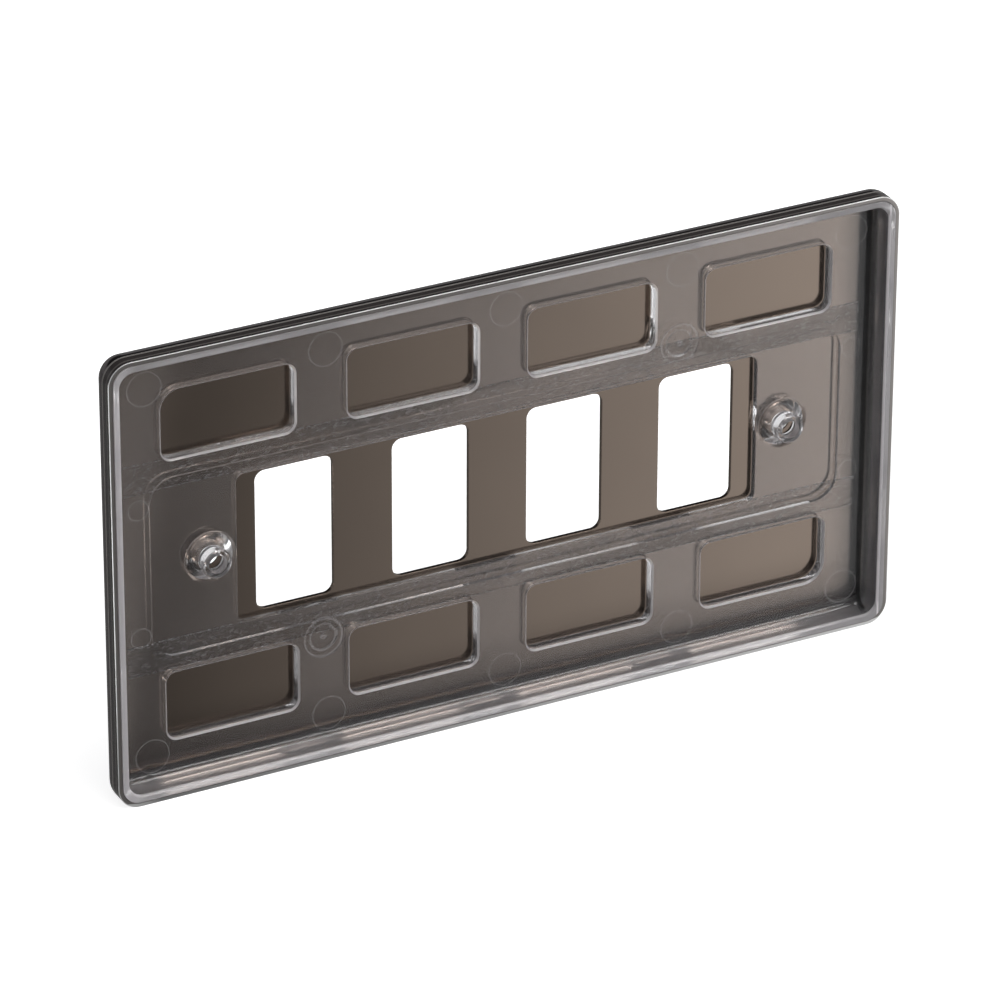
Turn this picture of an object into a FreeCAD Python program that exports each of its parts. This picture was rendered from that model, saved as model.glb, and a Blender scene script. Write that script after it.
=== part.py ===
import FreeCAD, Part
import Sketcher

import math
import os
import re

# Four-gang grid switch plate: a pressed metal front plate with a clear moulded liner taped into its back.
# X runs along the plate, Z is up, and the front faces -Y. The origin lies midway between the two screw
# holes, on the plane of the boss tips. Every height is counted from the back of the sheet towards the wall.
DIMENSIONS = {
    "plate_length": 164.1,
    "plate_width": 91.6,
    "plate_corner": 4.5,
    "front_fold": 4.3,
    "sheet_gauge": 0.85,
    "lip_height": 6.7,
    "aperture_length": 28.8,
    "aperture_width": 16.0,
    "aperture_corner": 2.0,
    "aperture_pitch": 28.2,
    "aperture_count": 4,
    "screw_spacing": 120.6,
    "screw_head_radius": 3.5,
    "screw_hole_radius": 2.05,
    "dimple_height": 1.0,
    "dimple_foot_round": 1.6,
    "tape_thickness": 0.15,
    "tape_end_margin": 5.05,
    "tape_width": 6.1,
    "tape_offset": 18.75,
    "liner_clearance": 0.1,
    "liner_wall": 1.3,
    "liner_fold": 3.3,
    "rim_height": 6.9,
    "rim_inner_round": 0.55,
    "web_height": 2.35,
    "web_fillet": 2.0,
    "recess_height": 1.55,
    "recess_length": 145.0,
    "recess_width": 36.9,
    "recess_corner": 5.0,
    "middle_width": 31.0,
    "middle_corner": 1.8,
    "window_length": 26.9,
    "window_width": 13.85,
    "window_corner": 2.1,
    "window_large_corner": 4.0,
    "window_outer_place": 56.4,
    "window_inner_place": 18.7,
    "window_offset": 29.05,
    "window_edge_slope": 0.35,
    "boss_height": 5.2,
    "boss_base_radius": 5.2,
    "boss_base_step": 0.4,
    "boss_side_margin": 0.3,
    "boss_neck_height": 3.2,
    "boss_radius": 2.9,
    "boss_tip_chamfer": 0.25,
    "boss_bore_radius": 1.85,
    "boss_cup_radius": 2.45,
    "boss_cup_height": 2.75,
    "boss_cup_clearance": 0.6,
    "gate_place": 37.4,
    "gate_offset": 22.1,
    "gate_dish_radius": 4.2,
    "gate_dish_depth": 0.25,
    "gate_well_radius": 2.75,
    "gate_well_depth": 0.6,
    "gate_nub_radius": 0.6,
    "gate_nub_height": 0.35,
}

# Outer radius of a dimple at the sheet's back. Its two 45 degree cones are one gauge apart, square to them.
DIMPLE_RADIUS = "(screw_head_radius - sheet_gauge + sheet_gauge * 2 ^ 0.5)"
TAPE_LENGTH = "(plate_length - 2 * tape_end_margin)"
MIDDLE_LENGTH = "(screw_spacing - 2 * boss_base_radius - 2 * boss_side_margin)"
QUARTER_TURN = math.pi / 2

document = FreeCAD.newDocument("grid_switch_plate")
sheet = document.addObject("Spreadsheet::Sheet", "sizes")
for row, (name, size) in enumerate(DIMENSIONS.items(), start=1):
    sheet.set(f"A{row}", name)
    sheet.set(f"B{row}", str(size))
    sheet.setAlias(f"B{row}", name)
document.recompute()


def on_sheet(formula):
    """The formula with each dimension's name pointing at its cell."""
    return re.sub(r"[a-z][a-z_]+", lambda word: "sizes." + word.group(), formula)


def value(formula):
    """The number that the formula gives with the sheet's present sizes."""
    return float(sheet.evalExpression(on_sheet(formula)))


def bind(item, path, formula):
    """Ties one size of a feature, sketch or primitive to the sheet."""
    item.setExpression(path, on_sheet(formula))


def limit(sketch, kind, places, formula):
    """Adds one dimensional constraint to a sketch and ties it to the sheet."""
    index = sketch.addConstraint(Sketcher.Constraint(kind, *places, value(formula)))
    bind(sketch, f"Constraints[{index}]", formula)


def new_body(name):
    body = document.addObject("PartDesign::Body", name)
    body.Label = name
    return body


def level(height):
    """The distance from the origin to a height, along the front normal of an XZ sketch."""
    return f"boss_height - ({height})"


def new_sketch(body, name, role, offset="0"):
    """A sketch on one of the body's origin planes, moved along that plane's normal."""
    sketch = body.newObject("Sketcher::SketchObject", name)
    plane = next(item for item in body.Origin.OriginFeatures if item.Role == role)
    sketch.AttachmentSupport = (plane, [""])
    sketch.MapMode = "FlatFace"
    bind(sketch, "AttachmentOffset.Base.z", offset)
    return sketch


def rounded_rectangle(sketch, centre_x, centre_z, length, width, corners):
    """Four sides joined by tangent arcs. Corners are given from upper right, anticlockwise."""
    x, z = value(centre_x), value(centre_z)
    half_x, half_z = value(length) / 2, value(width) / 2
    radii = [value(corner) for corner in corners]
    signs = [(1, 1), (-1, 1), (-1, -1), (1, -1)]
    arcs = []
    for turn, ((side_x, side_z), radius) in enumerate(zip(signs, radii)):
        middle = FreeCAD.Vector(x + side_x * (half_x - radius), z + side_z * (half_z - radius), 0)
        circle = Part.Circle(middle, FreeCAD.Vector(0, 0, 1), radius)
        arc = Part.ArcOfCircle(circle, turn * QUARTER_TURN, (turn + 1) * QUARTER_TURN)
        arcs.append(sketch.addGeometry(arc))
    sides = []
    for turn in range(4):
        start = sketch.getPoint(arcs[turn], 2)
        end = sketch.getPoint(arcs[(turn + 1) % 4], 1)
        sides.append(sketch.addGeometry(Part.LineSegment(start, end)))
    for turn in range(4):
        sketch.addConstraint(Sketcher.Constraint("Tangent", arcs[turn], 2, sides[turn], 1))
        sketch.addConstraint(Sketcher.Constraint("Tangent", sides[turn], 2, arcs[(turn + 1) % 4], 1))
        sketch.addConstraint(Sketcher.Constraint("Vertical" if turn % 2 else "Horizontal", sides[turn]))
        limit(sketch, "Radius", (arcs[turn],), corners[turn])
    top, left, bottom, right = sides
    limit(sketch, "DistanceY", (-1, 1, top, 1), f"{centre_z} + {width} / 2")
    limit(sketch, "DistanceX", (-1, 1, left, 1), f"{centre_x} - {length} / 2")
    limit(sketch, "DistanceY", (-1, 1, bottom, 1), f"{centre_z} - {width} / 2")
    limit(sketch, "DistanceX", (-1, 1, right, 1), f"{centre_x} + {length} / 2")


def turned_profile(sketch, axis_x, points):
    """A closed outline of (radius, height) points beside a construction line along Y at axis_x."""
    corners = [(f"{axis_x} + {radius}", f"{height} - boss_height") for radius, height in points]
    spots = [FreeCAD.Vector(value(across), value(along), 0) for across, along in corners]
    sides = []
    for turn, spot in enumerate(spots):
        sides.append(sketch.addGeometry(Part.LineSegment(spot, spots[(turn + 1) % len(spots)])))
    for turn, side in enumerate(sides):
        following = sides[(turn + 1) % len(sides)]
        sketch.addConstraint(Sketcher.Constraint("Coincident", side, 2, following, 1))
        across, along = corners[turn]
        limit(sketch, "DistanceX", (-1, 1, side, 1), across)
        limit(sketch, "DistanceY", (-1, 1, side, 1), along)
    low = FreeCAD.Vector(value(axis_x), -1, 0)
    high = FreeCAD.Vector(value(axis_x), 1, 0)
    axis = sketch.addGeometry(Part.LineSegment(low, high), True)
    sketch.addConstraint(Sketcher.Constraint("Vertical", axis))
    limit(sketch, "DistanceX", (-1, 1, axis, 1), axis_x)
    limit(sketch, "DistanceY", (-1, 1, axis, 1), "0 - sheet_gauge")
    limit(sketch, "DistanceY", (-1, 1, axis, 2), "sheet_gauge")


def raised(body, kind, name, sketch, length, towards_front=False):
    """A Pad or Pocket of a sketch. Either one runs towards the wall unless told otherwise."""
    feature = body.newObject(kind, name)
    feature.Profile = sketch
    bind(feature, "Length", length)
    feature.Reversed = (kind == "PartDesign::Pad") != towards_front
    document.recompute()
    return feature


def turned(body, kind, name, sketch):
    """A Revolution or Groove of a sketch about its construction line."""
    feature = body.newObject(kind, name)
    feature.Profile = sketch
    feature.ReferenceAxis = (sketch, ["Axis0"])
    feature.Angle = 360
    document.recompute()
    return feature


def half_turn(body, name, originals, sketch):
    """Repeats features on the other side of the origin, turned half round about Y."""
    pattern = body.newObject("PartDesign::PolarPattern", name)
    pattern.Originals = originals
    pattern.Axis = (sketch, ["N_Axis"])
    pattern.Angle = 360
    pattern.Occurrences = 2
    body.Tip = pattern
    document.recompute()
    return pattern


def flat_face(feature, height):
    """Name of the largest flat face that lies all at this height."""
    plane = value(f"{height} - boss_height")
    found = []
    for index, face in enumerate(feature.Shape.Faces, start=1):
        box = face.BoundBox
        if box.YLength < 1e-4 and abs(box.YMin - plane) < 1e-3:
            found.append((face.Area, f"Face{index}"))
    return max(found)[1]


def outline_edges(feature, height, inset):
    """Names of the edges at this height that follow the plate's outline at this inset."""
    plane = value(f"{height} - boss_height")
    half_length = value(f"plate_length / 2 - {inset}")
    half_width = value(f"plate_width / 2 - {inset}")
    names = []
    for index, edge in enumerate(feature.Shape.Edges, start=1):
        box = edge.BoundBox
        on_end = abs(max(-box.XMin, box.XMax) - half_length) < 1e-3
        on_side = abs(max(-box.ZMin, box.ZMax) - half_width) < 1e-3
        if box.YLength < 1e-4 and abs(box.YMin - plane) < 1e-3 and (on_end or on_side):
            names.append(f"Edge{index}")
    return names


def foot_edges(feature):
    """Names of the circles in which the pressed dimples leave the back of the sheet."""
    plane, radius = value("0 - boss_height"), value(DIMPLE_RADIUS)
    names = []
    for index, edge in enumerate(feature.Shape.Edges, start=1):
        box = edge.BoundBox
        if box.YLength < 1e-4 and abs(box.YMin - plane) < 1e-3 and abs(box.XLength - 2 * radius) < 1e-3:
            names.append(f"Edge{index}")
    return names


def window_edges(feature):
    """Names of the edges in which the two rows of small windows meet the wall side of the web."""
    plane = value("web_height - boss_height")
    near = value("window_offset - window_width / 2")
    far = value("window_offset + window_width / 2")
    names = []
    for index, edge in enumerate(feature.Shape.Edges, start=1):
        box = edge.BoundBox
        nearest, farthest = sorted([abs(box.ZMin), abs(box.ZMax)])
        in_row = nearest > near - 1e-3 and farthest < far + 1e-3
        if box.YLength < 1e-4 and abs(box.YMin - plane) < 1e-3 and in_row:
            names.append(f"Edge{index}")
    return names


def rounded(body, name, base, elements, radius):
    feature = body.newObject("PartDesign::Fillet", name)
    feature.Base = (base, elements)
    bind(feature, "Radius", radius)
    document.recompute()
    return feature


def sloped(body, name, base, elements, size):
    feature = body.newObject("PartDesign::Chamfer", name)
    feature.Base = (base, elements)
    bind(feature, "Size", size)
    document.recompute()
    return feature


def make_face_plate():
    """Pressed sheet: a tray with a rolled front edge, four apertures and two pressed countersinks."""
    body = new_body("face_plate")
    outline = new_sketch(body, "plate_outline", "XZ_Plane", level("lip_height"))
    rounded_rectangle(outline, "0", "0", "plate_length", "plate_width", ["plate_corner"] * 4)
    blank = raised(body, "PartDesign::Pad", "plate_blank", outline, "lip_height + sheet_gauge", True)
    front = flat_face(blank, "0 - sheet_gauge")
    rolled = rounded(body, "rolled_edge", blank, [front], "front_fold")

    tray = body.newObject("PartDesign::Thickness", "sheet_tray")
    tray.Base = (rolled, [flat_face(rolled, "lip_height")])
    bind(tray, "Value", "sheet_gauge")
    tray.Reversed = True
    document.recompute()

    slot = new_sketch(body, "aperture_outline", "XZ_Plane", level("0 - sheet_gauge"))
    first = "(1 - aperture_count) * aperture_pitch / 2"
    rounded_rectangle(slot, first, "0", "aperture_width", "aperture_length", ["aperture_corner"] * 4)
    aperture = raised(body, "PartDesign::Pocket", "aperture", slot, "sheet_gauge")
    row = body.newObject("PartDesign::LinearPattern", "aperture_row")
    row.Originals = [aperture]
    row.Direction = (slot, ["H_Axis"])
    bind(row, "Length", "(aperture_count - 1) * aperture_pitch")
    bind(row, "Occurrences", "aperture_count")
    body.Tip = row
    document.recompute()

    swell = new_sketch(body, "dimple_outside", "XY_Plane")
    turned_profile(swell, "screw_spacing / 2", [
        ("0", "0"),
        (DIMPLE_RADIUS, "0"),
        (f"{DIMPLE_RADIUS} - dimple_height", "dimple_height"),
        ("0", "dimple_height"),
    ])
    dimple = turned(body, "PartDesign::Revolution", "dimple", swell)
    pair = half_turn(body, "dimple_pair", [dimple], outline)
    rounded(body, "dimple_foot", pair, foot_edges(pair), "dimple_foot_round")
    cone_end = "(screw_head_radius - screw_hole_radius - sheet_gauge)"
    funnel = new_sketch(body, "countersink_outline", "XY_Plane")
    turned_profile(funnel, "screw_spacing / 2", [
        ("0", "0 - sheet_gauge"),
        ("screw_head_radius", "0 - sheet_gauge"),
        ("screw_hole_radius", cone_end),
        ("screw_hole_radius", "dimple_height"),
        ("0", "dimple_height"),
    ])
    countersink = turned(body, "PartDesign::Groove", "countersink", funnel)
    half_turn(body, "countersink_pair", [countersink], outline)
    return body


def make_liner():
    """Clear moulding: stepped web with windows, a wall inside the plate's flange and two screw bosses."""
    body = new_body("insulating_liner")
    inset = "(sheet_gauge + liner_clearance)"
    outline = new_sketch(body, "liner_outline", "XZ_Plane", level("tape_thickness"))
    rounded_rectangle(outline, "0", "0", f"(plate_length - 2 * {inset})", f"(plate_width - 2 * {inset})",
                      [f"plate_corner - {inset}"] * 4)
    block = raised(body, "PartDesign::Pad", "liner_block", outline, "rim_height - tape_thickness")
    folded = rounded(body, "liner_fold_edge", block, [flat_face(block, "tape_thickness")], "liner_fold")

    inner = f"({inset} + liner_wall)"
    hollow_outline = new_sketch(body, "hollow_outline", "XZ_Plane", level("web_height"))
    rounded_rectangle(hollow_outline, "0", "0", f"(plate_length - 2 * {inner})",
                      f"(plate_width - 2 * {inner})", [f"plate_corner - {inner} + liner_wall / 2"] * 4)
    hollow = raised(body, "PartDesign::Pocket", "hollow", hollow_outline, "rim_height - web_height")
    coved = rounded(body, "web_cove", hollow, [flat_face(hollow, "web_height")], "web_fillet")
    inside_edges = outline_edges(coved, "rim_height", inner)
    rounded(body, "rim_inside_round", coved, inside_edges, "rim_inner_round")

    recess_outline = new_sketch(body, "recess_outline", "XZ_Plane", level("recess_height"))
    rounded_rectangle(recess_outline, "0", "0", "recess_length", "recess_width", ["recess_corner"] * 4)
    raised(body, "PartDesign::Pocket", "recess", recess_outline, "web_height - recess_height")
    middle = new_sketch(body, "middle_outline", "XZ_Plane", level("tape_thickness"))
    rounded_rectangle(middle, "0", "0", MIDDLE_LENGTH, "middle_width", ["middle_corner"] * 4)
    raised(body, "PartDesign::Pocket", "middle_window", middle, "web_height - tape_thickness")

    # Only the window corner nearest one pair of opposite plate corners is larger.
    window_row = new_sketch(body, "window_outlines", "XZ_Plane", level("tape_thickness"))
    places = ["window_outer_place", "window_inner_place", "0 - window_inner_place", "0 - window_outer_place"]
    for place in places:
        large = place == "window_outer_place"
        first_corner = "window_large_corner" if large else "window_corner"
        corners = [first_corner, "window_corner", "window_corner", "window_corner"]
        rounded_rectangle(window_row, f"({place})", "window_offset", "window_length", "window_width", corners)
    windows = raised(body, "PartDesign::Pocket", "windows", window_row, "web_height - tape_thickness")
    rows = half_turn(body, "window_rows", [windows], outline)
    sloped(body, "window_edge_slopes", rows, window_edges(rows), "window_edge_slope")

    boss_outline = new_sketch(body, "boss_outline", "XY_Plane")
    turned_profile(boss_outline, "screw_spacing / 2", [
        ("0", "recess_height"),
        ("boss_base_radius", "recess_height"),
        ("boss_base_radius", "recess_height + boss_base_step"),
        ("boss_radius", "boss_neck_height"),
        ("boss_radius", "boss_height - boss_tip_chamfer"),
        ("boss_radius - boss_tip_chamfer", "boss_height"),
        ("0", "boss_height"),
    ])
    boss = turned(body, "PartDesign::Revolution", "boss", boss_outline)
    half_turn(body, "boss_pair", [boss], outline)

    # The boss is hollow underneath, with a cone that keeps one clearance from the plate's pressed dimple.
    cone_start = f"({DIMPLE_RADIUS} + boss_cup_clearance)"
    bore_outline = new_sketch(body, "bore_outline", "XY_Plane")
    turned_profile(bore_outline, "screw_spacing / 2", [
        ("0", "tape_thickness"),
        (f"{cone_start} - tape_thickness", "tape_thickness"),
        ("boss_cup_radius", f"{cone_start} - boss_cup_radius"),
        ("boss_cup_radius", "boss_cup_height"),
        ("boss_bore_radius", "boss_cup_height"),
        ("boss_bore_radius", "boss_height"),
        ("0", "boss_height"),
    ])
    bore = turned(body, "PartDesign::Groove", "bore", bore_outline)
    half_turn(body, "bore_pair", [bore], outline)

    # Injection gates: a shallow dish around a deeper well, with the trimmed nub standing in its middle.
    well = "web_height - gate_well_depth"
    gate_outline = new_sketch(body, "gate_outline", "XY_Plane", "0 - gate_offset")
    turned_profile(gate_outline, "gate_place", [
        ("0", f"{well} + gate_nub_height"),
        ("gate_nub_radius", f"{well} + gate_nub_height"),
        ("gate_nub_radius", well),
        ("gate_well_radius", well),
        ("gate_well_radius", "web_height - gate_dish_depth"),
        ("gate_dish_radius", "web_height - gate_dish_depth"),
        ("gate_dish_radius", "web_height"),
        ("0", "web_height"),
    ])
    gate = turned(body, "PartDesign::Groove", "gate", gate_outline)
    half_turn(body, "gate_pair", [gate], outline)
    return body


def make_tape(name, centre_z):
    """A strip of double-sided tape between the sheet and the web."""
    tape = document.addObject("Part::Box", name)
    tape.Label = name
    bind(tape, "Length", TAPE_LENGTH)
    bind(tape, "Width", "tape_thickness")
    bind(tape, "Height", "tape_width")
    bind(tape, "Placement.Base.x", f"0 - {TAPE_LENGTH} / 2")
    bind(tape, "Placement.Base.y", "0 - boss_height")
    bind(tape, "Placement.Base.z", f"{centre_z} - tape_width / 2")
    document.recompute()
    return tape


parts = [
    make_face_plate(),
    make_liner(),
    make_tape("upper_adhesive_strip", "tape_offset"),
    make_tape("lower_adhesive_strip", "0 - tape_offset"),
]
document.recompute()

for item in document.Objects:
    if "Invalid" in item.State or "Error" in item.State:
        raise RuntimeError(f"{item.Name} failed: {item.State}")
for part in parts:
    if part.Shape.isNull() or not part.Shape.isValid() or len(part.Shape.Solids) != 1:
        raise RuntimeError(f"{part.Label} is not one valid solid")

os.makedirs("parts", exist_ok=True)
for part in parts:
    part.Shape.exportStep(f"parts/{part.Label}.step")
    box = part.Shape.BoundBox
    print(part.Label, round(part.Shape.Volume, 1), [round(size, 3) for size in (
        box.XMin, box.YMin, box.ZMin, box.XMax, box.YMax, box.ZMax)])
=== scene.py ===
import math

import bpy
from mathutils import Matrix, Vector


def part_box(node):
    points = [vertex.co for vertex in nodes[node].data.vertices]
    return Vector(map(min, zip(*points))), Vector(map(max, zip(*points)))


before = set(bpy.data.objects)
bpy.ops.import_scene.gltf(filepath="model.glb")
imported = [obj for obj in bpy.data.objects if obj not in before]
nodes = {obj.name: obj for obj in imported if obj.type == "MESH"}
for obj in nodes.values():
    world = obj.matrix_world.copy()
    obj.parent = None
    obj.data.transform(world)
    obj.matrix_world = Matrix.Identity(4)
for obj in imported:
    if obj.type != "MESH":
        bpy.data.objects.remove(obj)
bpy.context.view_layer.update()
scene = bpy.context.scene

MM = 0.001
plate_low, plate_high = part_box("face_plate")
tape_low, tape_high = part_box("upper_adhesive_strip")
HALF_LENGTH, LIP_END, HALF_WIDTH = plate_high
PLATE_CORNER = 4.5 * MM
TAPE_OFFSET = (tape_low.z + tape_high.z) / 2
TAPE_HALF_WIDTH = (tape_high.z - tape_low.z) / 2
FLOOR_LEVEL = plate_low.z

SHARPEST_SMOOTHED_EDGE = math.radians(27)
JOINING_DISTANCE = 0.004 * MM
SLOPE_FACING = math.sqrt(0.5)

# Painted highlight lines: two on the plate's wall, from the end of the lip, and one on the liner's rim, from
# the end of the plate.
WALL_HIGHLIGHT_DEPTH = 2.6 * MM
FAINT_HIGHLIGHT_DEPTH = 0.95 * MM
RIM_HIGHLIGHT_INSET = 2.1 * MM

# The painted highlight on the lip's outer corner is wider by this along the lower lip.
WIDER_CORNER_HIGHLIGHT = 0.5 * MM

# Depth of the small relief in the materials: round marks, flow waves and the metal's grain.
MARK_RELIEF = 0.03 * MM
FLOW_RELIEF = 0.004 * MM
GRAIN_RELIEF = 0.0003 * MM

# Circles in the clear moulding, as (x, z, radius) in millimetres: ejector marks and injection gates.
EJECTOR_MARKS = [(x, z, 3.4) for z in (37.5, -38.5) for x in (73.1, 36.7, -0.5, -37.7, -74.1)]
EJECTOR_MARKS += [(x, z, 2.0) for z in (13.2, -13.2) for x in (74.8, -74.8)]
GATE_PLACES = ((37.6, -22.3), (-37.4, 22.1))
GATE_DISHES = [(x, z, 3.9) for x, z in GATE_PLACES]
GATE_WELLS = [(x, z, 2.65) for x, z in GATE_PLACES]
GATE_NUBS = [(x, z, 0.4) for x, z in GATE_PLACES]

# Each finish drifts between two colours.
SATIN_METAL = ((0.262, 0.211, 0.176, 1), (0.278, 0.224, 0.186, 1))
POLISHED_METAL = ((0.205, 0.188, 0.190, 1), (0.222, 0.203, 0.203, 1))
CLEAR_TINT = ((0.972, 0.972, 0.990, 1), (0.984, 0.984, 0.996, 1))
TAPE_TINT = ((0.20, 0.19, 0.18, 1), (0.62, 0.61, 0.60, 1))
TABLE_WHITE = ((0.80, 0.80, 0.80, 1), (0.83, 0.83, 0.83, 1))

# Colour of the painted shade beside the folds.
FOLD_SHADE = (0.002, 0.002, 0.002, 1)
SHEARED_LIP = (0.25, 0.235, 0.225, 1)
# Colour of the painted shade band on the plate's outer wall.
WALL_SHADE = (0.014, 0.010, 0.008, 1)
# Colour of the painted highlight lines on the plate's outer wall.
PAINTED_WALL_HIGHLIGHT = (0.24, 0.225, 0.21, 1)
# Colour of the painted highlight along the lip's outer corner.
PAINTED_CORNER_HIGHLIGHT = (0.90, 0.90, 0.89, 1)
MILKY_PLASTIC = (0.87, 0.84, 0.86, 1)
# Colour of the painted shade line in the liner beside the rim.
RIM_SHADE = (0.012, 0.012, 0.012, 1)
TAPE_BORDER = (0.80, 0.80, 0.82, 1)
ROOM_LIGHT = (0.985, 0.985, 1, 1)
WHITE = (1, 1, 1, 1)

FLOOR_REACH = 6.0

# Panel lamps as name, place, size, power and colour of the light.
PANELS = (("upper_panel", (-0.35, 0.75, 1.35), (1.7, 1.1), 6.5, (1, 1, 1)),
          ("side_panel", (-1.3, 0.9, 0.5), (0.9, 1.2), 3.0, (1, 1, 1)),
          ("strip", (-0.45, 0.47, 0.87), (1.0, 0.30), 3.6, (1, 1, 1)),
          ("far_side_panel", (1.2, 0.7, 0.6), (0.7, 1.0), 1.0, (0.96, 0.96, 1.0)))

# The camera as solved from the photograph's straight edges.
CAMERA_PLACE = (0.505529, 0.966524, 0.565379)
CAMERA_TURN = ((-0.887753, -0.209342, 0.409964),
               (0.460307, -0.410460, 0.787172),
               (0.003486, 0.887524, 0.460749))
CAMERA_LENS = 236.514


class Graph:
    """A material's or world's node tree, with short calls for the usual nodes."""

    def __init__(self, owner):
        owner.use_nodes = True
        self.tree = owner.node_tree
        self.tree.nodes.clear()

    def add(self, kind, inputs=None, **settings):
        node = self.tree.nodes.new(kind)
        for name, setting in settings.items():
            setattr(node, name, setting)
        for name, source in (inputs or {}).items():
            self.feed(node.inputs[name], source)
        return node

    def feed(self, socket, source):
        if isinstance(source, bpy.types.NodeSocket):
            self.tree.links.new(source, socket)
        elif source is not None:
            socket.default_value = source

    def place(self):
        """The x, y and z of each point in the frame."""
        spot = self.add("ShaderNodeTexCoord").outputs["Object"]
        return self.add("ShaderNodeSeparateXYZ", {"Vector": spot}).outputs

    def facing_back(self):
        """How far the surface faces +Y, the wall: 1 fully, -1 when it faces the room."""
        normal = self.add("ShaderNodeTexCoord").outputs["Normal"]
        return self.add("ShaderNodeSeparateXYZ", {"Vector": normal}).outputs["Y"]

    def math(self, operation, first, second=None):
        node = self.tree.nodes.new("ShaderNodeMath")
        node.operation = operation
        for socket, source in zip(node.inputs, (first, second)):
            self.feed(socket, source)
        return node.outputs[0]

    def chain(self, operation, sources):
        result = sources[0]
        for source in sources[1:]:
            result = self.math(operation, result, source)
        return result

    def product(self, *sources):
        return self.chain("MULTIPLY", sources)

    def total(self, *sources):
        return self.chain("ADD", sources)

    def most(self, *sources):
        return self.chain("MAXIMUM", sources)

    def size(self, source):
        return self.math("ABSOLUTE", source)

    def distance(self, source, place):
        """How far the source is from the place, on either side of it."""
        return self.size(self.math("SUBTRACT", source, place))

    def mix(self, factor, first, second):
        """A number between first and second."""
        return self.add("ShaderNodeMix", {"Factor": factor, "A": first, "B": second}).outputs["Result"]

    def mix_shaders(self, factor, first, second):
        node = self.add("ShaderNodeMixShader", {"Fac": factor})
        self.feed(node.inputs[1], first)
        self.feed(node.inputs[2], second)
        return node.outputs[0]

    def ramp(self, source, low, high, out_low=0.0, out_high=1.0):
        """A smooth step from out_low at low to out_high at high."""
        node = self.add("ShaderNodeMapRange", interpolation_type="SMOOTHSTEP")
        for name, setting in (("Value", source), ("From Min", low), ("From Max", high),
                              ("To Min", out_low), ("To Max", out_high)):
            self.feed(node.inputs[name], setting)
        return node.outputs[0]

    def blend(self, factor, first, second):
        node = self.tree.nodes.new("ShaderNodeMix")
        node.data_type = "RGBA"
        sockets = [s for s in node.inputs if s.enabled]
        self.feed(sockets[0], factor)
        self.feed(sockets[1], first)
        self.feed(sockets[2], second)
        return [s for s in node.outputs if s.enabled][0]

    def noise(self, scale, detail=3.0, roughness=0.5, stretch=(1, 1, 1)):
        place = self.add("ShaderNodeTexCoord").outputs["Object"]
        moved = self.add("ShaderNodeMapping", {"Vector": place, "Scale": stretch}).outputs[0]
        return self.add("ShaderNodeTexNoise", {
            "Vector": moved, "Scale": scale, "Detail": detail, "Roughness": roughness}).outputs["Fac"]

    def bump(self, height, distance, under=None):
        node = self.add("ShaderNodeBump", {"Height": height, "Distance": distance, "Strength": 1.0})
        if under is not None:
            self.tree.links.new(under, node.inputs["Normal"])
        return node.outputs[0]

    def surface(self, shader):
        self.add("ShaderNodeOutputMaterial", {"Surface": shader})


def material(name):
    made = bpy.data.materials.new(name)
    return made, Graph(made)


def dress(node, finish):
    mesh = nodes[node].data
    mesh.materials.clear()
    mesh.materials.append(finish)


def joined_and_smooth():
    """A node group that joins the separate CAD faces and keeps only their true edges sharp."""
    group = bpy.data.node_groups.new("joined_and_smooth", "GeometryNodeTree")
    group.interface.new_socket("Geometry", in_out="INPUT", socket_type="NodeSocketGeometry")
    group.interface.new_socket("Geometry", in_out="OUTPUT", socket_type="NodeSocketGeometry")

    def add(kind, **settings):
        node = group.nodes.new(kind)
        for name, setting in settings.items():
            setattr(node, name, setting)
        return node

    start, end = add("NodeGroupInput"), add("NodeGroupOutput")
    plain = add("GeometryNodeRemoveAttribute")
    plain.inputs["Name"].default_value = "custom_normal"
    merged = add("GeometryNodeMergeByDistance")
    merged.inputs["Distance"].default_value = JOINING_DISTANCE
    smooth = add("GeometryNodeSetShadeSmooth", domain="FACE")
    corner = add("GeometryNodeInputMeshEdgeAngle")
    gentle = add("FunctionNodeCompare", data_type="FLOAT", operation="LESS_THAN")
    gentle.inputs[1].default_value = SHARPEST_SMOOTHED_EDGE
    sharp = add("GeometryNodeSetShadeSmooth", domain="EDGE")
    link = group.links.new
    link(start.outputs[0], plain.inputs["Geometry"])
    link(plain.outputs[0], merged.inputs["Geometry"])
    link(merged.outputs[0], smooth.inputs["Geometry"])
    link(smooth.outputs[0], sharp.inputs["Geometry"])
    link(corner.outputs["Unsigned Angle"], gentle.inputs[0])
    link(gentle.outputs[0], sharp.inputs["Shade Smooth"])
    link(sharp.outputs[0], end.inputs[0])
    return group


def smooth_shading(node):
    joined = nodes[node].modifiers.new("joined_and_smooth", "NODES")
    joined.node_group = joined_and_smooth()
    weighted = nodes[node].modifiers.new("flat_faces_first", "WEIGHTED_NORMAL")
    weighted.mode = "FACE_AREA"
    weighted.weight = 50
    weighted.keep_sharp = True


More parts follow.
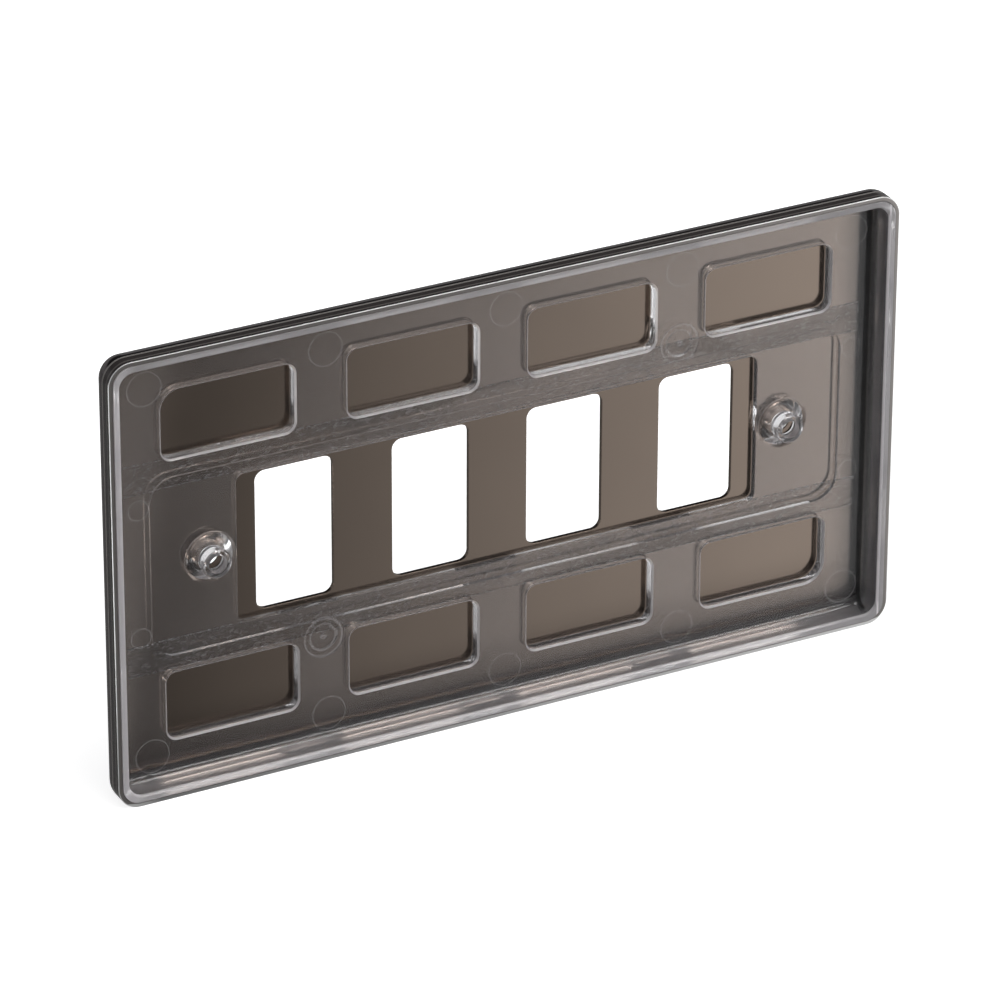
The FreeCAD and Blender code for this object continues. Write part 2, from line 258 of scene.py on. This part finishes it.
def black_nickel():
    """Black nickel plate: polished outside, satin with a faint grain behind, and a raw sheared lip.

    The painted highlight on the lip's outer corner, the wall's two painted highlight lines, its painted dark
    band of shade and the painted shades beside the folds have no depth, so they are painted by their place
    on the sheet.
    """
    finish, graph = material("black_nickel")
    x, y, z = graph.place()
    facing = graph.facing_back()
    over_x = graph.most(graph.math("SUBTRACT", graph.size(x), HALF_LENGTH - PLATE_CORNER), 0.0)
    over_z = graph.most(graph.math("SUBTRACT", graph.size(z), HALF_WIDTH - PLATE_CORNER), 0.0)
    squares = graph.total(graph.product(over_x, over_x), graph.product(over_z, over_z))
    from_edge = graph.math("SUBTRACT", PLATE_CORNER, graph.math("SQRT", squares))
    from_end = graph.total(x, HALF_LENGTH)
    from_bottom = graph.total(z, HALF_WIDTH)
    under_lip = graph.math("SUBTRACT", LIP_END, y)

    behind = graph.product(graph.ramp(from_edge, 0.10 * MM, 0.25 * MM), graph.ramp(facing, -0.5, -0.2))
    outer_wall = graph.product(graph.ramp(graph.size(facing), 0.6, 0.4), graph.math("SUBTRACT", 1.0, behind))
    lip_end = graph.product(graph.ramp(facing, 0.5, 0.8), graph.ramp(under_lip, 0.15 * MM, 0.0))
    # Painted highlight: a bright line along the lip's outer corner, on its end and on the wall.
    highlight_width = graph.ramp(from_bottom, 0.8 * MM, 1.2 * MM, WIDER_CORNER_HIGHLIGHT, 0.0)
    past_highlight = graph.math("SUBTRACT", from_edge, highlight_width)
    highlight_on_lip_end = graph.product(lip_end, graph.ramp(past_highlight, 0.22 * MM, 0.10 * MM))
    highlight_on_wall = graph.product(outer_wall, graph.ramp(under_lip, 0.18 * MM, 0.08 * MM))
    lip_corner_highlight = graph.most(highlight_on_lip_end, highlight_on_wall)
    # Painted highlights: two light lines along the outer wall, standing in for reflections there.
    clear_highlight = graph.ramp(graph.distance(under_lip, WALL_HIGHLIGHT_DEPTH), 0.32 * MM, 0.12 * MM)
    faint_highlight = graph.ramp(graph.distance(under_lip, FAINT_HIGHLIGHT_DEPTH), 0.28 * MM, 0.10 * MM, 0.0, 0.45)
    wall_highlights = graph.product(outer_wall, graph.most(clear_highlight, faint_highlight))
    # Painted shade: a dark band along the outer wall, standing in for the dark reflection there.
    painted_wall_shade = graph.product(graph.ramp(under_lip, 2.5 * MM, 2.2 * MM),
                              graph.ramp(under_lip, 0.15 * MM, 0.35 * MM), outer_wall, 0.80)
    # Painted shade: the metal behind darkens toward the end fold and toward the bottom fold.
    shade_at_end_fold = graph.product(graph.ramp(from_end, 4.55 * MM, 10.55 * MM, 0.50, 1.0),
                             graph.ramp(from_end, 3.85 * MM, 6.15 * MM, 0.15, 1.0))
    shade_at_end_fold = graph.most(shade_at_end_fold, graph.ramp(from_end, 3.35 * MM, 2.95 * MM, 0.0, 0.5))
    shade_at_low_fold = graph.ramp(from_bottom, 2.5 * MM, 7.8 * MM, 0.04, 1.0)
    shade_at_low_fold = graph.most(shade_at_low_fold, graph.ramp(from_bottom, 2.1 * MM, 1.8 * MM))
    painted_fold_shade = graph.mix(behind, 1.0, graph.product(shade_at_end_fold, shade_at_low_fold))

    cloud = graph.noise(34.0, 3.0, 0.5)
    patches = graph.ramp(cloud, 0.3, 0.7)
    satin = graph.blend(patches, *SATIN_METAL)
    polished = graph.blend(patches, *POLISHED_METAL)
    colour = graph.blend(behind, polished, satin)
    colour = graph.blend(painted_fold_shade, FOLD_SHADE, colour)
    colour = graph.blend(lip_end, colour, SHEARED_LIP)
    colour = graph.blend(painted_wall_shade, colour, WALL_SHADE)
    colour = graph.blend(wall_highlights, colour, PAINTED_WALL_HIGHLIGHT)
    colour = graph.blend(lip_corner_highlight, colour, PAINTED_CORNER_HIGHLIGHT)
    drift = graph.product(graph.math("SUBTRACT", cloud, 0.5), 0.06)
    rough = graph.total(graph.mix(behind, 0.10, 0.14), drift)
    rough = graph.mix(graph.most(lip_end, wall_highlights, lip_corner_highlight), rough, 0.45)
    edges = graph.add("ShaderNodeBevel", {"Radius": 0.22 * MM}, samples=6).outputs[0]
    grain = graph.noise(2600.0, 2.0, 0.5)
    shader = graph.add("ShaderNodeBsdfPrincipled", {
        "Base Color": colour, "Metallic": graph.math("SUBTRACT", 1.0, graph.most(wall_highlights, painted_wall_shade)),
        "Roughness": rough, "Normal": graph.bump(grain, GRAIN_RELIEF, edges)})
    graph.surface(shader.outputs[0])
    return finish


def nearest_circle(graph, flat, circles, rims=False):
    """The distance from the nearest circle: below zero inside it, or from its line with rims."""
    edges = []
    for centre_x, centre_z, radius in circles:
        away = graph.add("ShaderNodeVectorMath", operation="DISTANCE")
        graph.feed(away.inputs[0], flat)
        away.inputs[1].default_value = (centre_x * MM, centre_z * MM, 0)
        edge = graph.math("SUBTRACT", away.outputs["Value"], radius * MM)
        edges.append(graph.size(edge) if rims else edge)
    return graph.chain("MINIMUM", edges)


def clear_plastic():
    """Clear moulding: glossy flats, milkier walls, slopes and rim, faint round marks and gate lines."""
    finish, graph = material("clear_plastic")
    x, y, z = graph.place()
    facing = graph.facing_back()
    from_end = graph.total(x, HALF_LENGTH)
    from_far_end = graph.math("SUBTRACT", HALF_LENGTH, x)
    flat = graph.add("ShaderNodeCombineXYZ", {"X": x, "Y": z}).outputs[0]

    upper_side = graph.ramp(y, -3.2 * MM, -3.0 * MM)
    from_mark = nearest_circle(graph, flat, EJECTOR_MARKS)
    mark_line = graph.product(graph.ramp(graph.size(from_mark), 0.15 * MM, 0.05 * MM), upper_side)
    from_gate_line = nearest_circle(graph, flat, GATE_DISHES + GATE_WELLS + GATE_NUBS, rims=True)
    gate_line = graph.product(graph.ramp(from_gate_line, 0.26 * MM, 0.10 * MM), 1.1,
                              graph.ramp(facing, 0.3, 0.6), graph.ramp(y, -4.6 * MM, -4.2 * MM))
    dish = graph.ramp(nearest_circle(graph, flat, GATE_DISHES), 0.20 * MM, -0.20 * MM)
    well = graph.ramp(nearest_circle(graph, flat, GATE_WELLS), 0.20 * MM, -0.20 * MM)
    relief = graph.total(graph.product(graph.ramp(from_mark, -0.10 * MM, 0.10 * MM), upper_side),
                         graph.product(graph.math("SUBTRACT", dish, well), 2.0))
    flow = graph.noise(55.0, 2.0, 0.4, (0.5, 1, 1))
    milk = graph.noise(260.0, 3.0, 0.5)

    wall = graph.product(graph.ramp(graph.size(facing), 0.90, 0.35), graph.ramp(y, -4.35 * MM, -3.75 * MM))
    slope = graph.product(graph.ramp(graph.distance(graph.size(facing), SLOPE_FACING), 0.12, 0.03),
                          graph.ramp(y, -3.3 * MM, -3.2 * MM), graph.ramp(y, -2.4 * MM, -2.6 * MM))
    rim = graph.ramp(y, 0.9 * MM, 1.3 * MM)
    # The rim is milky all round; toward the far end it is milkier still, a painted highlight.
    rim_milk_and_highlight = graph.ramp(from_far_end, 6.05 * MM, 2.55 * MM, 0.38, 0.58)
    # Painted highlight: a milky line along the rim near the end of the plate.
    rim_highlight = graph.ramp(graph.distance(from_end, RIM_HIGHLIGHT_INSET), 0.30 * MM, 0.10 * MM, 0.0, 0.55)
    haze = graph.total(0.018, graph.product(milk, 0.012),
                       graph.product(graph.most(mark_line, gate_line), 0.20),
                       graph.product(wall, 0.10), graph.product(slope, 0.40),
                       graph.product(rim, rim_milk_and_highlight), graph.product(rim, rim_highlight))
    rough = graph.total(0.045, graph.product(wall, 0.12), graph.product(milk, 0.03))
    normal = graph.bump(relief, MARK_RELIEF, graph.bump(flow, FLOW_RELIEF))
    tint = graph.blend(graph.ramp(flow, 0.3, 0.7), *CLEAR_TINT)
    clear = graph.add("ShaderNodeBsdfPrincipled", {
        "Base Color": tint, "Transmission Weight": 1.0, "Roughness": rough, "IOR": 1.49, "Normal": normal})
    milky = graph.add("ShaderNodeBsdfDiffuse", {"Color": MILKY_PLASTIC, "Normal": normal})
    through = graph.add("ShaderNodeBsdfTranslucent", {"Color": MILKY_PLASTIC, "Normal": normal})
    veil = graph.mix_shaders(0.35, milky.outputs[0], through.outputs[0])
    whole = graph.mix_shaders(haze, clear.outputs[0], veil)

    # Painted shade: a dark line in the liner beside the rim, near the end of the plate.
    shade = graph.product(graph.ramp(from_end, 4.85 * MM, 4.05 * MM),
                          graph.ramp(from_end, 3.40 * MM, 3.75 * MM),
                          graph.ramp(y, 0.2 * MM, -0.8 * MM), 0.8)
    painted_rim_shade = graph.add("ShaderNodeBsdfDiffuse", {"Color": RIM_SHADE})
    graph.surface(graph.mix_shaders(shade, whole, painted_rim_shade.outputs[0]))
    return finish


def frosted_tape():
    """Thin clear tape: faint smears and tiny air pockets, with a lighter dashed line at its long edges."""
    finish, graph = material("frosted_tape")
    x, y, z = graph.place()
    speckle = graph.noise(1700.0, 3.0, 0.6, (0.5, 1, 1))
    smear = graph.noise(150.0, 4.0, 0.6, (0.2, 1, 1))
    dashes = graph.noise(700.0, 2.0, 0.5, (1, 0, 0))
    from_border = graph.math("SUBTRACT", TAPE_HALF_WIDTH, graph.distance(graph.size(z), TAPE_OFFSET))
    border = graph.product(graph.ramp(from_border, 0.22 * MM, 0.10 * MM), graph.ramp(dashes, 0.42, 0.55))
    cover = graph.total(0.02, graph.ramp(smear, 0.42, 0.66, 0.0, 0.13),
                        graph.ramp(speckle, 0.54, 0.66, 0.0, 0.20), graph.product(border, 0.30))
    tint = graph.blend(graph.ramp(speckle, 0.4, 0.7), *TAPE_TINT)
    tint = graph.blend(border, tint, TAPE_BORDER)
    shader = graph.add("ShaderNodeBsdfPrincipled", {"Base Color": tint, "Roughness": 0.5, "Alpha": cover})
    graph.surface(shader.outputs[0])
    return finish


def pale_floor():
    """White to the camera with the object's soft shadow. Gloss sees a table that shades off to one side.

    The sheet's flat back reflects a slanted strip of the table at each x, so the shade follows the slant.
    """
    finish, graph = material("pale_floor")
    rays = graph.add("ShaderNodeLightPath").outputs
    x, y, z = graph.place()
    pale = graph.blend(graph.noise(3.0, 2.0), *TABLE_WHITE)
    plain = graph.add("ShaderNodeBsdfDiffuse", {"Color": pale}).outputs[0]
    lift = graph.add("ShaderNodeEmission", {"Color": WHITE, "Strength": 0.80}).outputs[0]
    seen = graph.add("ShaderNodeAddShader")
    graph.feed(seen.inputs[0], plain)
    graph.feed(seen.inputs[1], lift)

    slant = graph.total(x, graph.product(y, 0.52))
    shade = graph.add("ShaderNodeMapRange", {
        "Value": slant, "From Min": 0.090, "From Max": -0.10, "To Min": 0.05, "To Max": 1.05}).outputs[0]
    shade = graph.product(shade, graph.ramp(y, 0.004, 0.022, 0.6, 1.0))
    near_glow = graph.ramp(slant, 0.0735, 0.080, 0.0, 0.25)
    left_glow = graph.product(graph.ramp(x, 0.112, 0.135, 0.0, 4.0), graph.ramp(y, 0.11, 0.08))
    right_glow = graph.ramp(slant, -0.100, -0.150, 0.0, 0.8)
    at_the_back = graph.total(shade, near_glow, left_glow, right_glow)
    at_the_front = graph.total(graph.product(rays["Is Transmission Ray"], 0.75), 0.17)
    strength = graph.mix(graph.ramp(y, -0.006, 0.0), at_the_front, at_the_back)
    reflected = graph.add("ShaderNodeEmission", {"Strength": strength}).outputs[0]
    mirrored = graph.most(rays["Is Glossy Ray"], rays["Is Transmission Ray"])
    unmirrored = graph.mix_shaders(rays["Is Camera Ray"], plain, seen.outputs[0])
    graph.surface(graph.mix_shaders(mirrored, unmirrored, reflected))
    return finish


def add_floor():
    turns = ((-1, -1), (1, -1), (1, 1), (-1, 1))
    corners = [(x * FLOOR_REACH, y * FLOOR_REACH, FLOOR_LEVEL) for x, y in turns]
    mesh = bpy.data.meshes.new("pale_floor")
    mesh.from_pydata(corners, [], [(0, 1, 2, 3)])
    floor = bpy.data.objects.new("pale_floor", mesh)
    mesh.materials.append(pale_floor())
    scene.collection.objects.link(floor)


def add_world():
    """White to the camera. Gloss and glass see a room that is brighter at the back and above."""
    world = bpy.data.worlds.new("studio")
    scene.world = world
    graph = Graph(world)
    rays = graph.add("ShaderNodeLightPath").outputs
    way = graph.add("ShaderNodeTexCoord").outputs["Generated"]
    x, y, z = graph.add("ShaderNodeSeparateXYZ", {"Vector": way}).outputs
    back_glow = graph.product(graph.ramp(y, -0.45, 0.75, 0.03, 0.62), graph.ramp(z, 0.05, 0.45, 0.35, 1.0))
    far_glow = graph.product(graph.ramp(z, 0.40, 0.25, 0.0, 0.25), graph.ramp(y, -0.2, -0.5))
    room = graph.add("ShaderNodeBackground", {
        "Color": ROOM_LIGHT, "Strength": graph.total(back_glow, far_glow)}).outputs[0]
    white = graph.add("ShaderNodeBackground", {"Color": WHITE, "Strength": 1.0}).outputs[0]
    both = graph.mix_shaders(rays["Is Camera Ray"], room, white)
    graph.add("ShaderNodeOutputWorld", {"Surface": both})


def softbox(name, place, size, power, light):
    """A large panel lamp at the place given, turned to face the object."""
    lamp = bpy.data.lights.new(name, "AREA")
    lamp.shape = "RECTANGLE"
    lamp.size, lamp.size_y = size
    lamp.energy = power
    lamp.color = light
    holder = bpy.data.objects.new(name, lamp)
    turn = (-Vector(place)).to_track_quat("-Z", "Y").to_matrix().to_4x4()
    holder.matrix_world = Matrix.Translation(place) @ turn
    scene.collection.objects.link(holder)


def add_camera():
    data = bpy.data.cameras.new("camera")
    data.sensor_width = 36.0
    data.lens = CAMERA_LENS
    data.clip_start, data.clip_end = 0.05, 50.0
    camera = bpy.data.objects.new("camera", data)
    camera.matrix_world = Matrix.Translation(CAMERA_PLACE) @ Matrix(CAMERA_TURN).to_4x4()
    scene.collection.objects.link(camera)
    scene.camera = camera


dress("face_plate", black_nickel())
dress("insulating_liner", clear_plastic())
smooth_shading("face_plate")
smooth_shading("insulating_liner")
tape = frosted_tape()
dress("upper_adhesive_strip", tape)
dress("lower_adhesive_strip", tape)

add_floor()
add_world()
for name, place, size, power, light in PANELS:
    softbox(name, place, size, power, light)
add_camera()

scene.view_settings.view_transform = "Standard"
